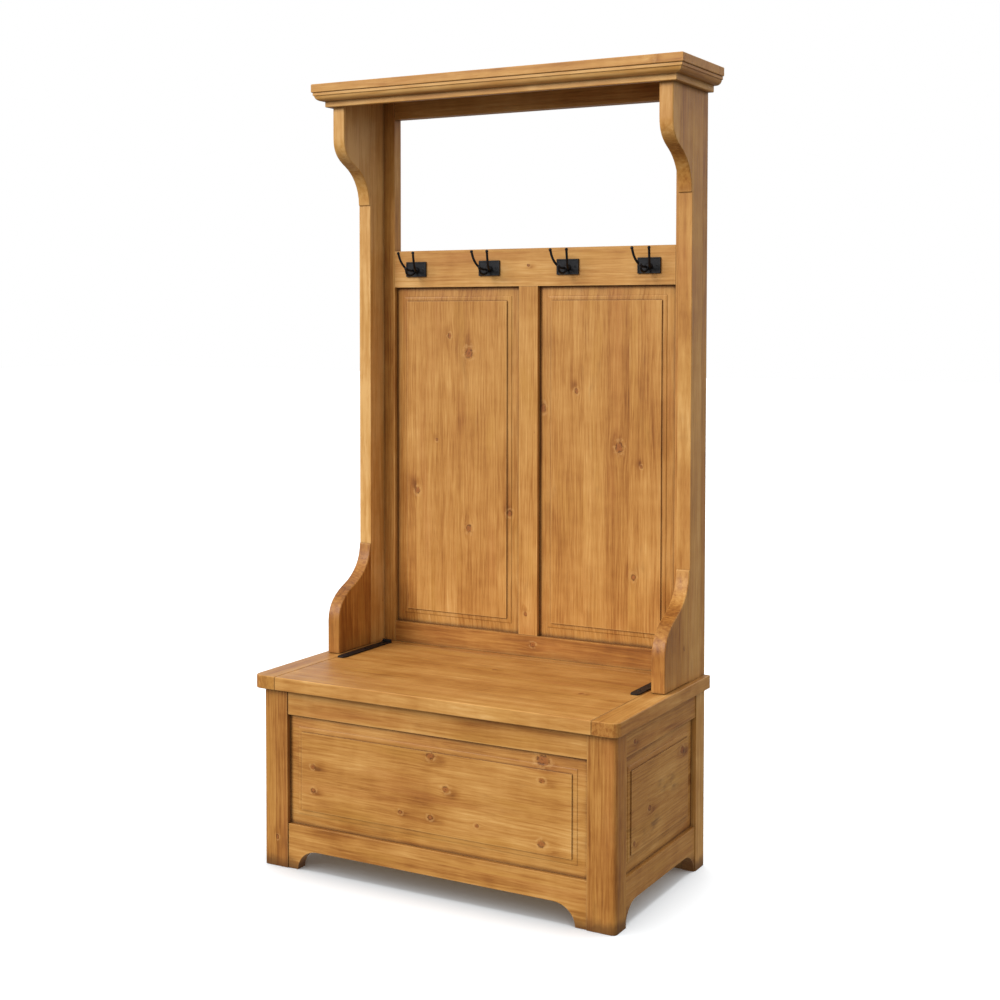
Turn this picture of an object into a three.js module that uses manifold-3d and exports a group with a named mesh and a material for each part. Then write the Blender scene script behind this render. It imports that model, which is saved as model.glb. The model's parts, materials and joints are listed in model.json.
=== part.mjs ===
// Pine hall bench: a panelled storage chest with a hinged seat lid, and above it an open
// panelled back with shaped sides, a coat rail and a moulded cornice.
// Millimetres. X runs along the bench, to the right as seen from the front, Y runs from the
// front to the wall, and Z is up. The sections below are drawn with the wall at Y = 0; the
// whole bench is then moved forward of the wall by half its depth, so that its origin is on
// the floor under its middle.

import * as THREE from 'three';
import { mergeVertices } from 'three/addons/utils/BufferGeometryUtils.js';
import Module from 'manifold-3d';

const wasm = await Module();
wasm.setup();

// ---------------------------------------------------------------- driving dimensions

const GAP = 0.3; // between any two pieces that touch
const SIDES = [['left', -1], ['right', 1]];

// Chest
const CHEST_HALF = 453; // outer faces of the legs
const CHEST_DEPTH = 492;
const LEG_WIDTH = 67;
const LEG_DEPTH = 52;
const LEG_ROUND = 12; // rounded outer corner of the front legs
const LEG_ROUND_BACK = 4;
const PROUD = 2.5; // legs stand this far proud of the rails
const RAIL_THICK = 28;
const RAIL_LOW = 47; // underside of the bottom rails
const PANEL_LOW = 104; // chest openings
const PANEL_HIGH = 360.5;
const FOOT_REACH = 27.5; // front bracket foot, beyond the leg, on the floor
const FOOT_CURVE = 54; // length of the hollow curve above it
const SIDE_FOOT_REACH = 4;

// Seat
const SEAT_LOW = 419;
const SEAT_TOP = 450;
const SEAT_HALF = 466;
const SEAT_FRONT = -514;
const SEAT_SEAM = 406; // joint between the lid and the fixed ends
const SEAT_CORNER = 22;
const EASE = 1.5; // softened arrises of the seat and cornice boards
const LID_BACK = -60.5;
const LID_HALF = SEAT_SEAM - 0.7;
const REAR_STRIP_FRONT = -58.5;

// Strap hinges, lying on the lid beside the seams
const STRAP_INNER = 380.5;
const STRAP_OUTER = 403.5;
const STRAP_TIP = -268;
const STRAP_THICK = 3;
const HINGE_Y = -60;
const BARREL_RADIUS = 4.5;
const HINGE_Z = SEAT_TOP + GAP + BARREL_RADIUS;
const PIN_RADIUS = 1.8;
const KNUCKLE_HALF = 5.5;
const KNUCKLE_PLAY = 0.4;

// Upper part
const POST_OUTER = 451.7;
const POST_INNER = 418.2;
const POST_FRONT = -93;
const FRAME_FRONT = -30; // face of the panelled back
const STILE_INNER = 386;
const MUNTIN_HALF = 26;
const LOWER_RAIL_TOP = 502;
const HOOK_RAIL_LOW = 1358.3;
const HOOK_RAIL_TOP = 1450.2;
const HEADER_LOW = 1784.5;
const WING_TOP = 707.7;
const WING_FRONT = -235.5;
const BRACKET_LOW = 1563.7;
const BRACKET_FRONT = -207.2;
const NOSE = 3.2; // thickness left at the thin ends of wings and brackets

// Cornice
const CORNICE_LOW = 1832; // underside of the top board
const CORNICE_TOP = 1852.5;
const CORNICE_HALF = 490.5;
const CORNICE_FRONT = -246;
const MOULD_DEPTH = 38.5; // from the edge of the board to the back of the moulding

// Joinery
const TENON = 9;
const TENON_LONG = 24;
const GROOVE = 10;
const TONGUE = 8;

// Coat hooks
const HOOK_PLACES = [-320, -108, 108, 320];
const HOOK_MIDDLE = 1403.5;
const HOOK_HALF_WIDTH = 29;
const HOOK_HALF_HEIGHT = 18.5;
const HOOK_PLATE = 4;

// ---------------------------------------------------------------- materials

function material(color, roughness, metalness = 0) {
  return new THREE.MeshStandardMaterial({ color, roughness, metalness });
}

const waxedPine = material(0xc48a48, 0.45);
const palePine = material(0xd6a468, 0.5);
const rawPine = material(0xd9b27c, 0.75);
const blackIron = material(0x1f1f21, 0.55, 0.6);

// ---------------------------------------------------------------- solids

function asSolid(shape) {
  if (!shape.isBufferGeometry) {
    return shape;
  }
  const bare = shape.clone();
  bare.deleteAttribute('normal');
  bare.deleteAttribute('uv');
  const merged = mergeVertices(bare, 1e-4);
  const vertProperties = new Float32Array(merged.attributes.position.array);
  const triVerts = new Uint32Array(merged.index.array);
  return new wasm.Manifold(new wasm.Mesh({ numProp: 3, vertProperties, triVerts }));
}

function asGeometry(shape) {
  if (shape.isBufferGeometry) {
    return shape;
  }
  const mesh = shape.getMesh();
  const geometry = new THREE.BufferGeometry();
  const positions = new Float32Array(mesh.vertProperties);
  geometry.setAttribute('position', new THREE.BufferAttribute(positions, 3));
  geometry.setIndex(new THREE.BufferAttribute(new Uint32Array(mesh.triVerts), 1));
  const faceted = geometry.toNonIndexed();
  faceted.computeVertexNormals();
  return faceted;
}

function join(first, ...rest) {
  return rest.reduce((whole, piece) => whole.add(asSolid(piece)), asSolid(first));
}

function cut(first, ...rest) {
  return rest.reduce((whole, piece) => whole.subtract(asSolid(piece)), asSolid(first));
}

// A block between the given limits along X, Y and Z, in either order.
function block(...limits) {
  const size = limits.map(([a, b]) => Math.abs(b - a));
  const middle = limits.map(([a, b]) => (a + b) / 2);
  return new THREE.BoxGeometry(...size).translate(...middle);
}

// The same limits, larger all round, for the socket that a block fits.
function around(limits, play = GAP) {
  return limits.map(([a, b]) => [Math.min(a, b) - play, Math.max(a, b) + play]);
}

// Outlines drawn in (Y, Z) and pushed along X, drawn in (X, Z) and pushed along Y, and drawn
// in (X, Y) and pushed along Z.
const alongX = new THREE.Matrix4().makeBasis(
  new THREE.Vector3(0, 1, 0),
  new THREE.Vector3(0, 0, 1),
  new THREE.Vector3(1, 0, 0),
);
const alongY = new THREE.Matrix4().makeBasis(
  new THREE.Vector3(1, 0, 0),
  new THREE.Vector3(0, 0, 1),
  new THREE.Vector3(0, -1, 0),
);

function push(outline, depth, curveSegments = 8) {
  return new THREE.ExtrudeGeometry(outline, { depth, bevelEnabled: false, curveSegments });
}

function pushX(outline, [x0, x1]) {
  const low = Math.min(x0, x1);
  return push(outline, Math.abs(x1 - x0)).applyMatrix4(alongX).translate(low, 0, 0);
}

function pushY(outline, [y0, y1]) {
  const high = Math.max(y0, y1);
  return push(outline, Math.abs(y1 - y0)).applyMatrix4(alongY).translate(0, high, 0);
}

function pushZ(outline, [z0, z1], curveSegments = 8) {
  return push(outline, z1 - z0, curveSegments).translate(0, 0, z0);
}

function rodX(radius, [x0, x1], y, z, sides = 16) {
  const rod = new THREE.CylinderGeometry(radius, radius, Math.abs(x1 - x0), sides);
  return rod.rotateZ(Math.PI / 2).translate((x0 + x1) / 2, y, z);
}

// A board lying flat, its plan given by an outline, with every arris eased.
function easedBoard(plan, [z0, z1], ease = EASE) {
  const options = {
    depth: z1 - z0 - 2 * ease,
    bevelThickness: ease,
    bevelSize: ease,
    bevelOffset: -ease,
    bevelSegments: 2,
    curveSegments: 6,
  };
  return new THREE.ExtrudeGeometry(plan, options).translate(0, 0, z0 + ease);
}

// A rectangle in plan; the corner at (outerX, outerY) is rounded.
function roundedPlan([innerX, outerX], [innerY, outerY], radius) {
  const towardX = Math.sign(innerX - outerX) * radius;
  const towardY = Math.sign(innerY - outerY) * radius;
  const plan = new THREE.Shape();
  plan.moveTo(innerX, innerY);
  plan.lineTo(outerX, innerY);
  plan.lineTo(outerX, outerY + towardY);
  plan.quadraticCurveTo(outerX, outerY, outerX + towardX, outerY);
  plan.lineTo(innerX, outerY);
  plan.closePath();
  return plan;
}

// ---------------------------------------------------------------- scene helpers

// Shapes are drawn in the frame of their group. Each mesh then takes its datum as its own
// origin, so the piece sits where its position says.
function place(group, name, shape, finish, datum) {
  const geometry = asGeometry(shape).translate(-datum[0], -datum[1], -datum[2]);
  const mesh = new THREE.Mesh(geometry, finish);
  mesh.name = name;
  mesh.position.set(...datum);
  group.add(mesh);
  return mesh;
}

// ---------------------------------------------------------------- raised panels

// A raised and fielded panel, lying in X and Y with its show face toward +Z: a tongue all
// round, a bevel that rises toward the middle, a small step, a rounded band and the field.
// The size is that of the opening, and the show face of the surrounding frame is at Z = 0.
function raisedPanel(width, height, { edgeDepth, fieldDepth, bevel, band }) {
  const tongue = GROOVE - 0.5;
  const half = [width / 2, height / 2];
  const plate = block(
    [-half[0] - tongue, half[0] + tongue],
    [-half[1] - tongue, half[1] + tongue],
    [-edgeDepth - TONGUE, -edgeDepth],
  );
  const rise = edgeDepth - fieldDepth;
  const bevelTop = -edgeDepth + rise * 0.4;
  const bandLow = bevelTop + rise * 0.08;
  const bandTop = bandLow + rise * 0.2;
  const slope = pillow(half, bevel, [-edgeDepth - 2, -edgeDepth, bevelTop], 0, 1);
  const inner = half.map((h) => h - bevel);
  const round = pillow(inner, band, [bevelTop - 2, bandLow, bandTop], 0, 3);
  const core = half.map((h) => h - bevel - band);
  const field = block([-core[0], core[0]], [-core[1], core[1]], [bandLow - 2, -fieldDepth]);
  return join(plate, slope, round, field);
}

// A block whose top edge slopes or curves inward over the given width.
function pillow([halfX, halfY], width, [base, shoulder, top], inset, segments) {
  const plan = new THREE.Shape();
  plan.moveTo(-halfX + inset, -halfY + inset);
  plan.lineTo(halfX - inset, -halfY + inset);
  plan.lineTo(halfX - inset, halfY - inset);
  plan.lineTo(-halfX + inset, halfY - inset);
  plan.closePath();
  const options = {
    depth: 2 * (shoulder - base),
    bevelThickness: top - shoulder,
    bevelSize: width,
    bevelOffset: -width,
    bevelSegments: segments,
  };
  const whole = new THREE.ExtrudeGeometry(plan, options).translate(0, 0, 2 * base - shoulder);
  const reach = [-2 * halfX, 2 * halfX];
  const deep = [-2 * halfY, 2 * halfY];
  return cut(whole, block(reach, deep, [base - 100, base]));
}

const CHEST_PANEL = { edgeDepth: 10, fieldDepth: 2.5, bevel: 26, band: 11.5 };
const BACK_PANEL = { edgeDepth: 13, fieldDepth: 3, bevel: 24, band: 11.5 };

// ---------------------------------------------------------------- chest

const chest = new THREE.Group();

const railFace = CHEST_HALF - PROUD; // show face of the side rails, in X
const frontFace = -CHEST_DEPTH + PROUD; // show face of the front rails, in Y
const legInner = CHEST_HALF - LEG_WIDTH;
const frontLegBack = -CHEST_DEPTH + LEG_DEPTH;
const backLegFront = -LEG_DEPTH;
const railTop = SEAT_LOW - GAP;
const shoulder = 9.5; // from a rail's show face to its tenon

const topTenonZ = [PANEL_HIGH + 12, railTop - 10];
const lowTenonZ = [RAIL_LOW + 8, PANEL_LOW - 12];
const frontTenonY = [frontFace + shoulder, frontFace + shoulder + TENON];
const backTenonY = [-PROUD - shoulder - TENON, -PROUD - shoulder];
const crossTenonX = [-legInner - TENON_LONG, legInner + TENON_LONG];
const sideTenonY = [frontLegBack - TENON_LONG, backLegFront + TENON_LONG];
const panelZ = [PANEL_LOW, PANEL_HIGH];

function sideTenonX(side) {
  return [side * (railFace - shoulder), side * (railFace - shoulder - TENON)];
}

function groove([a, b]) {
  return [a - GROOVE, b + GROOVE];
}

function grooveDepth(face, inward, edgeDepth) {
  return [face + inward * (edgeDepth - GAP), face + inward * (edgeDepth + TONGUE + GAP)];
}

const frontGrooveY = grooveDepth(frontFace, 1, CHEST_PANEL.edgeDepth);
const backGrooveY = grooveDepth(-PROUD, -1, CHEST_PANEL.edgeDepth);
const crossGrooveX = groove([-legInner, legInner]);
const sideGrooveY = groove([frontLegBack, backLegFront]);
const frontGroove = [crossGrooveX, frontGrooveY, groove(panelZ)];
const backGroove = [crossGrooveX, backGrooveY, groove(panelZ)];

function sideGroove(side) {
  return [grooveDepth(side * railFace, -side, CHEST_PANEL.edgeDepth), sideGrooveY, groove(panelZ)];
}

function leg(side, isFront) {
  const outerY = isFront ? -CHEST_DEPTH : 0;
  const innerY = isFront ? frontLegBack : backLegFront;
  const radius = isFront ? LEG_ROUND : LEG_ROUND_BACK;
  const plan = roundedPlan([side * legInner, side * CHEST_HALF], [innerY, outerY], radius);
  const crossTenonY = isFront ? frontTenonY : backTenonY;
  const sockets = [topTenonZ, lowTenonZ].flatMap((z) => [
    block(...around([crossTenonX, crossTenonY, z])),
    block(...around([sideTenonX(side), sideTenonY, z])),
  ]);
  const grooves = [block(...(isFront ? frontGroove : backGroove)), block(...sideGroove(side))];
  return cut(pushZ(plan, [0, railTop]), ...sockets, ...grooves);
}

// The outline of a bottom rail between two legs, in (along, Z), with a bracket foot at each
// end: the foot stands on the floor for the given reach, then hollows up to the underside.
function bracketRailOutline([start, end], reach, curve) {
  const outline = new THREE.Shape();
  outline.moveTo(start, 0);
  outline.lineTo(start, PANEL_LOW);
  outline.lineTo(end, PANEL_LOW);
  outline.lineTo(end, 0);
  outline.lineTo(end - reach, 0);
  outline.absellipse(end - reach - curve, 0, curve, RAIL_LOW, 0, Math.PI / 2, false, 0);
  outline.absellipse(start + reach + curve, 0, curve, RAIL_LOW, Math.PI / 2, Math.PI, false, 0);
  outline.closePath();
  return outline;
}

function crossRail(z, y, tenonZ, tenonY) {
  const body = block([-legInner + GAP, legInner - GAP], y, z);
  return join(body, block(crossTenonX, tenonY, tenonZ));
}

const frontRailY = [frontFace, frontFace + RAIL_THICK];
const backRailY = [-PROUD - RAIL_THICK, -PROUD];

function frontBottomRail() {
  const outline = bracketRailOutline([-legInner + GAP, legInner - GAP], FOOT_REACH, FOOT_CURVE);
  const whole = join(pushY(outline, frontRailY), block(crossTenonX, frontTenonY, lowTenonZ));
  return cut(whole, block(...frontGroove));
}

function sideRailX(side) {
  return [side * railFace, side * (railFace - RAIL_THICK)];
}

function sideBottomRail(side) {
  const along = [frontLegBack + GAP, backLegFront - GAP];
  const outline = bracketRailOutline(along, SIDE_FOOT_REACH, FOOT_CURVE);
  const tenon = block(sideTenonX(side), sideTenonY, lowTenonZ);
  return cut(join(pushX(outline, sideRailX(side)), tenon), block(...sideGroove(side)));
}

function sideTopRail(side) {
  const body = block(sideRailX(side), [frontLegBack + GAP, backLegFront - GAP], [PANEL_HIGH, railTop]);
  const tenon = block(sideTenonX(side), sideTenonY, topTenonZ);
  return cut(join(body, tenon), block(...sideGroove(side)));
}

for (const [name, side] of SIDES) {
  const x = side * CHEST_HALF;
  place(chest, `leg_front_${name}`, leg(side, true), waxedPine, [x, -CHEST_DEPTH, 0]);
  place(chest, `leg_back_${name}`, leg(side, false), waxedPine, [x, 0, 0]);
}

const topRailZ = [PANEL_HIGH, railTop];
const frontTopRail = cut(crossRail(topRailZ, frontRailY, topTenonZ, frontTenonY), block(...frontGroove));
place(chest, 'front_top_rail', frontTopRail, waxedPine, [0, frontFace, PANEL_HIGH]);
place(chest, 'front_bottom_rail', frontBottomRail(), waxedPine, [0, frontFace, 0]);

const backTopRail = cut(crossRail(topRailZ, backRailY, topTenonZ, backTenonY), block(...backGroove));
const backLowZ = [RAIL_LOW, PANEL_LOW];
const backLowRail = cut(crossRail(backLowZ, backRailY, lowTenonZ, backTenonY), block(...backGroove));
place(chest, 'back_top_rail', backTopRail, waxedPine, [0, -PROUD, PANEL_HIGH]);
place(chest, 'back_bottom_rail', backLowRail, waxedPine, [0, -PROUD, RAIL_LOW]);

for (const [name, side] of SIDES) {
  const x = side * railFace;
  const middleY = (frontLegBack + backLegFront) / 2;
  place(chest, `${name}_top_rail`, sideTopRail(side), waxedPine, [x, middleY, PANEL_HIGH]);
  place(chest, `${name}_bottom_rail`, sideBottomRail(side), waxedPine, [x, middleY, 0]);
  const panel = raisedPanel(backLegFront - frontLegBack, PANEL_HIGH - PANEL_LOW, CHEST_PANEL);
  const mesh = place(chest, `${name}_panel`, panel, palePine, [0, 0, 0]);
  mesh.position.set(x, middleY, (PANEL_LOW + PANEL_HIGH) / 2);
  mesh.rotation.set(Math.PI / 2, side * Math.PI / 2, 0);
}

const frontPanel = raisedPanel(2 * legInner, PANEL_HIGH - PANEL_LOW, CHEST_PANEL);
const frontPanelMesh = place(chest, 'front_panel', frontPanel, palePine, [0, 0, 0]);
frontPanelMesh.position.set(0, frontFace, (PANEL_LOW + PANEL_HIGH) / 2);
frontPanelMesh.rotation.set(Math.PI / 2, 0, 0);

// The wall side is a plain board in the same grooves.
const wallBoard = block(
  [-legInner - GROOVE + 0.5, legInner + GROOVE - 0.5],
  [backGrooveY[0] - GAP, backGrooveY[1] + GAP],
  [PANEL_LOW - GROOVE + 0.5, PANEL_HIGH + GROOVE - 0.5],
);
place(chest, 'chest_back_board', wallBoard, rawPine, [0, -PROUD, PANEL_LOW]);

// Floor of the chest: boards from front to back on two bearers.
const BEARER_Z = [51, 71];
const BEARER_DEEP = 20;
const FLOOR_THICK = 12;
const FLOOR_BOARDS = 4;
const floorY = [frontRailY[1] + GAP, backRailY[0] - GAP];
const floorHalf = railFace - RAIL_THICK - GAP;
const floorZ = [BEARER_Z[1] + GAP, BEARER_Z[1] + GAP + FLOOR_THICK];
const bearerX = [-legInner + GAP, legInner - GAP];
const frontBearer = block(bearerX, [floorY[0], floorY[0] + BEARER_DEEP], BEARER_Z);
const backBearer = block(bearerX, [floorY[1] - BEARER_DEEP, floorY[1]], BEARER_Z);
place(chest, 'floor_bearer_front', frontBearer, rawPine, [0, floorY[0], BEARER_Z[0]]);
place(chest, 'floor_bearer_back', backBearer, rawPine, [0, floorY[1], BEARER_Z[0]]);

function legClearance() {
  const beyond = legInner - GAP;
  const front = [-CHEST_DEPTH, frontLegBack + GAP];
  const back = [backLegFront - GAP, 0];
  return SIDES.flatMap(([, side]) =>
    [front, back].map((y) => block([side * beyond, side * CHEST_HALF], y, [0, SEAT_LOW])),
  );
}

const boardPitch = (2 * floorHalf) / FLOOR_BOARDS;
for (let i = 0; i < FLOOR_BOARDS; i += 1) {
  const x0 = -floorHalf + i * boardPitch;
  const board = block([x0 + GAP, x0 + boardPitch - GAP], floorY, floorZ);
  const datum = [x0 + boardPitch / 2, floorY[1], floorZ[0]];
  place(chest, `floor_board_${i + 1}`, cut(board, ...legClearance()), rawPine, datum);
}

// ---------------------------------------------------------------- fixed parts of the seat

const seat = new THREE.Group();
seat.position.set(0, 0, SEAT_LOW);
const seatZ = [0, SEAT_TOP - SEAT_LOW];

function seatEnd(side) {
  const plan = roundedPlan([side * SEAT_SEAM, side * SEAT_HALF], [0, SEAT_FRONT], SEAT_CORNER);
  return easedBoard(plan, seatZ);
}

for (const [name, side] of SIDES) {
  place(seat, `seat_end_${name}`, seatEnd(side), waxedPine, [side * SEAT_HALF, 0, 0]);
}

// The rear strip carries the fixed leaves of the hinges in its front edge.
const LEAF_THICK = 2.4;
const LEAF_DROP = 20;
const leafY = [HINGE_Y + BARREL_RADIUS - LEAF_THICK, HINGE_Y + BARREL_RADIUS];
const stripHalf = SEAT_SEAM - GAP;
const leafLow = SEAT_TOP - LEAF_DROP;

function leafMortise(side) {
  const x = [side * (STRAP_INNER - GAP), side * (SEAT_SEAM + 1)];
  const y = [REAR_STRIP_FRONT - 1, leafY[1] + GAP];
  return block(x, y, [leafLow - SEAT_LOW - GAP, seatZ[1] + 1]);
}

const rearStripBlock = block([-stripHalf, stripHalf], [REAR_STRIP_FRONT, 0], seatZ);
const rearStrip = cut(rearStripBlock, leafMortise(-1), leafMortise(1));
place(seat, 'seat_rear_strip', rearStrip, waxedPine, [0, 0, 0]);

function hingeLeaf(side) {
  const x = [side * STRAP_INNER, side * STRAP_OUTER];
  const middle = side * (STRAP_INNER + STRAP_OUTER) / 2;
  const plate = block(x, leafY, [leafLow, HINGE_Z]);
  const whole = join(plate, rodX(BARREL_RADIUS, x, HINGE_Y, HINGE_Z));
  const space = KNUCKLE_HALF + KNUCKLE_PLAY;
  const strapSpace = block(
    [middle - space, middle + space],
    [HINGE_Y - 2 * BARREL_RADIUS, HINGE_Y + 2 * BARREL_RADIUS],
    [HINGE_Z - BARREL_RADIUS - KNUCKLE_PLAY, HINGE_Z + 2 * BARREL_RADIUS],
  );
  const bore = rodX(PIN_RADIUS + GAP, [x[0] - side, x[1] + side], HINGE_Y, HINGE_Z);
  return cut(whole, strapSpace, bore).translate(0, 0, -SEAT_LOW);
}

for (const [name, side] of SIDES) {
  const x = [side * (STRAP_INNER - 0.5), side * (STRAP_OUTER + 0.5)];
  const datum = [side * STRAP_INNER, HINGE_Y, HINGE_Z - SEAT_LOW];
  const pin = rodX(PIN_RADIUS, x, HINGE_Y, HINGE_Z - SEAT_LOW, 12);
  place(seat, `hinge_leaf_${name}`, hingeLeaf(side), blackIron, datum);
  place(seat, `hinge_pin_${name}`, pin, blackIron, datum);
}

// ---------------------------------------------------------------- lid

// The lid's group has its origin on the hinge axis.
const lid = new THREE.Group();
lid.position.set(0, HINGE_Y, HINGE_Z);

const lidTop = SEAT_TOP - HINGE_Z;
const lidLow = SEAT_LOW + GAP - HINGE_Z;
const BATTEN_X = [318, 348];
const BATTEN_Y = [-440, -85];
const BATTEN_THICK = 20;

function lidPlan() {
  const plan = new THREE.Shape();
  plan.moveTo(-LID_HALF, SEAT_FRONT - HINGE_Y);
  plan.lineTo(LID_HALF, SEAT_FRONT - HINGE_Y);
  plan.lineTo(LID_HALF, LID_BACK - HINGE_Y);
  plan.lineTo(-LID_HALF, LID_BACK - HINGE_Y);
  plan.closePath();
  return plan;
}

place(lid, 'lid_board', easedBoard(lidPlan(), [lidLow, lidTop]), waxedPine, [0, LID_BACK - HINGE_Y, lidTop]);

// A strap lies on the lid and ends at the back in one knuckle around the pin.
function strapHinge(side) {
  const middle = side * (STRAP_INNER + STRAP_OUTER) / 2;
  const half = (STRAP_OUTER - STRAP_INNER) / 2;
  const tip = STRAP_TIP - HINGE_Y;
  const POINT = 9;
  const BLUNT = 8;
  const plan = new THREE.Shape();
  plan.moveTo(middle - half, 0);
  plan.lineTo(middle - half, tip + POINT);
  plan.lineTo(middle - BLUNT, tip);
  plan.lineTo(middle + BLUNT, tip);
  plan.lineTo(middle + half, tip + POINT);
  plan.lineTo(middle + half, 0);
  plan.closePath();
  const plate = pushZ(plan, [-BARREL_RADIUS, -BARREL_RADIUS + STRAP_THICK]);
  const knuckleX = [middle - KNUCKLE_HALF, middle + KNUCKLE_HALF];
  const clear = BARREL_RADIUS + KNUCKLE_PLAY;
  const notches = [-1, 1].map((end) =>
    block([middle + end * KNUCKLE_HALF, middle + end * 2 * half], [-clear, clear], [-clear, clear]),
  );
  const bore = rodX(PIN_RADIUS + GAP, [middle - half, middle + half], 0, 0);
  return cut(join(plate, rodX(BARREL_RADIUS, knuckleX, 0, 0)), ...notches, bore);
}

for (const [name, side] of SIDES) {
  place(lid, `strap_hinge_${name}`, strapHinge(side), blackIron, [side * STRAP_INNER, 0, 0]);
  const batten = block(
    BATTEN_X.map((x) => side * x),
    BATTEN_Y.map((y) => y - HINGE_Y),
    [lidLow - GAP, lidLow - GAP - BATTEN_THICK],
  );
  const datum = [side * BATTEN_X[0], BATTEN_Y[1] - HINGE_Y, lidLow];
  place(lid, `lid_batten_${name}`, batten, rawPine, datum);
}

// ---------------------------------------------------------------- shaped sides

const upper = new THREE.Group();
upper.position.set(0, 0, SEAT_TOP);

const upperLow = GAP;
const upperTop = CORNICE_LOW - GAP - SEAT_TOP;
const postBack = FRAME_FRONT - GAP;
const shapedBack = POST_FRONT - GAP;
const noseFront = shapedBack - NOSE;

// The ogee of a wing, from its thin top end down to the seat, in (Y, Z).
function wingOutline() {
  const top = WING_TOP - SEAT_TOP;
  const turn = [-166, 613.5 - SEAT_TOP];
  const swell = 530 - SEAT_TOP;
  const outline = new THREE.Shape();
  outline.moveTo(shapedBack, top);
  outline.lineTo(noseFront, top);
  outline.bezierCurveTo(noseFront, top - 42, -123, turn[1] + 19.5, turn[0], turn[1]);
  outline.bezierCurveTo(-205, turn[1] - 16.5, WING_FRONT, swell + 43, WING_FRONT, swell);
  outline.lineTo(WING_FRONT, upperLow);
  outline.lineTo(shapedBack, upperLow);
  outline.closePath();
  return outline;
}

// The ogee of a bracket, from the cornice down to its thin lower end, in (Y, Z).
function bracketOutline() {
  const low = BRACKET_LOW - SEAT_TOP;
  const turn = [-157, 1656.5 - SEAT_TOP];
  const swell = 1722 - SEAT_TOP;
  const outline = new THREE.Shape();
  outline.moveTo(shapedBack, upperTop);
  outline.lineTo(shapedBack, low);
  outline.lineTo(noseFront, low);
  outline.bezierCurveTo(noseFront, low + 46, -125, turn[1] - 15.5, turn[0], turn[1]);
  outline.bezierCurveTo(-192, turn[1] + 16.5, BRACKET_FRONT, swell - 32, BRACKET_FRONT, swell);
  outline.lineTo(BRACKET_FRONT, upperTop);
  outline.closePath();
  return outline;
}

for (const [name, side] of SIDES) {
  const x = [side * POST_INNER, side * POST_OUTER];
  const post = block(x, [POST_FRONT, postBack], [upperLow, upperTop]);
  place(upper, `side_post_${name}`, post, waxedPine, [x[1], POST_FRONT, 0]);
  place(upper, `wing_${name}`, pushX(wingOutline(), x), waxedPine, [x[1], shapedBack, 0]);
  const bracketDatum = [x[1], shapedBack, BRACKET_LOW - SEAT_TOP];
  place(upper, `bracket_${name}`, pushX(bracketOutline(), x), waxedPine, bracketDatum);
}

// ---------------------------------------------------------------- panelled back

const frameY = [FRAME_FRONT, 0];
const frameTenonY = [-19.5, -19.5 + TENON];
const RAIL_TENON_LONG = 30;
const railX = [-STILE_INNER + GAP, STILE_INNER - GAP];
const railTenonX = [-STILE_INNER - RAIL_TENON_LONG, STILE_INNER + RAIL_TENON_LONG];
const fromSeat = (z) => z - SEAT_TOP;
const lowerRailZ = [upperLow, fromSeat(LOWER_RAIL_TOP)];
const hookRailZ = [fromSeat(HOOK_RAIL_LOW), fromSeat(HOOK_RAIL_TOP)];
const headerZ = [fromSeat(HEADER_LOW), upperTop];
const lowerTenonZ = [lowerRailZ[0] + 8, lowerRailZ[1] - 12];
const hookTenonZ = [hookRailZ[0] + 12, hookRailZ[1] - 12];
const headerTenonZ = [headerZ[0] + 8, headerZ[1] - 8];
const muntinZ = [lowerRailZ[1] + GAP, hookRailZ[0] - GAP];
const muntinTenon = [
  [-16, 16],
  frameTenonY,
  [lowerRailZ[1] - TENON_LONG, hookRailZ[0] + TENON_LONG],
];
const backOpeningZ = [lowerRailZ[1], hookRailZ[0]];
const backPanelGrooves = SIDES.map(([, side]) => [
  [side * (MUNTIN_HALF - GROOVE), side * (STILE_INNER + GROOVE)],
  grooveDepth(FRAME_FRONT, 1, BACK_PANEL.edgeDepth),
  groove(backOpeningZ),
]);

function grooved(shape) {
  return cut(shape, ...backPanelGrooves.map((limits) => block(...limits)));
}

function frameRail(z, tenonZ) {
  return join(block(railX, frameY, z), block(railTenonX, frameTenonY, tenonZ));
}

function backStile(side) {
  const body = block([side * STILE_INNER, side * POST_OUTER], frameY, [upperLow, upperTop]);
  const sockets = [lowerTenonZ, hookTenonZ, headerTenonZ].map((z) =>
    block(...around([railTenonX, frameTenonY, z])),
  );
  return grooved(cut(body, ...sockets));
}

for (const [name, side] of SIDES) {
  place(upper, `back_stile_${name}`, backStile(side), waxedPine, [side * POST_OUTER, 0, 0]);
}

const muntinSocket = block(...around(muntinTenon));
const lowerRail = grooved(cut(frameRail(lowerRailZ, lowerTenonZ), muntinSocket));
const hookRail = grooved(cut(frameRail(hookRailZ, hookTenonZ), muntinSocket));
place(upper, 'back_lower_rail', lowerRail, waxedPine, [0, 0, 0]);
place(upper, 'hook_rail', hookRail, waxedPine, [0, 0, hookRailZ[0]]);
place(upper, 'header_rail', frameRail(headerZ, headerTenonZ), waxedPine, [0, 0, headerZ[0]]);

const muntinBody = block([-MUNTIN_HALF, MUNTIN_HALF], frameY, muntinZ);
const muntin = grooved(join(muntinBody, block(...muntinTenon)));
place(upper, 'back_muntin', muntin, waxedPine, [0, 0, muntinZ[0]]);

for (const [name, side] of SIDES) {
  const width = STILE_INNER - MUNTIN_HALF;
  const panel = raisedPanel(width, backOpeningZ[1] - backOpeningZ[0], BACK_PANEL);
  const mesh = place(upper, `back_panel_${name}`, panel, palePine, [0, 0, 0]);
  const middle = side * (MUNTIN_HALF + width / 2);
  mesh.position.set(middle, FRAME_FRONT, (backOpeningZ[0] + backOpeningZ[1]) / 2);
  mesh.rotation.set(Math.PI / 2, 0, 0);
}

// ---------------------------------------------------------------- cornice

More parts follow.
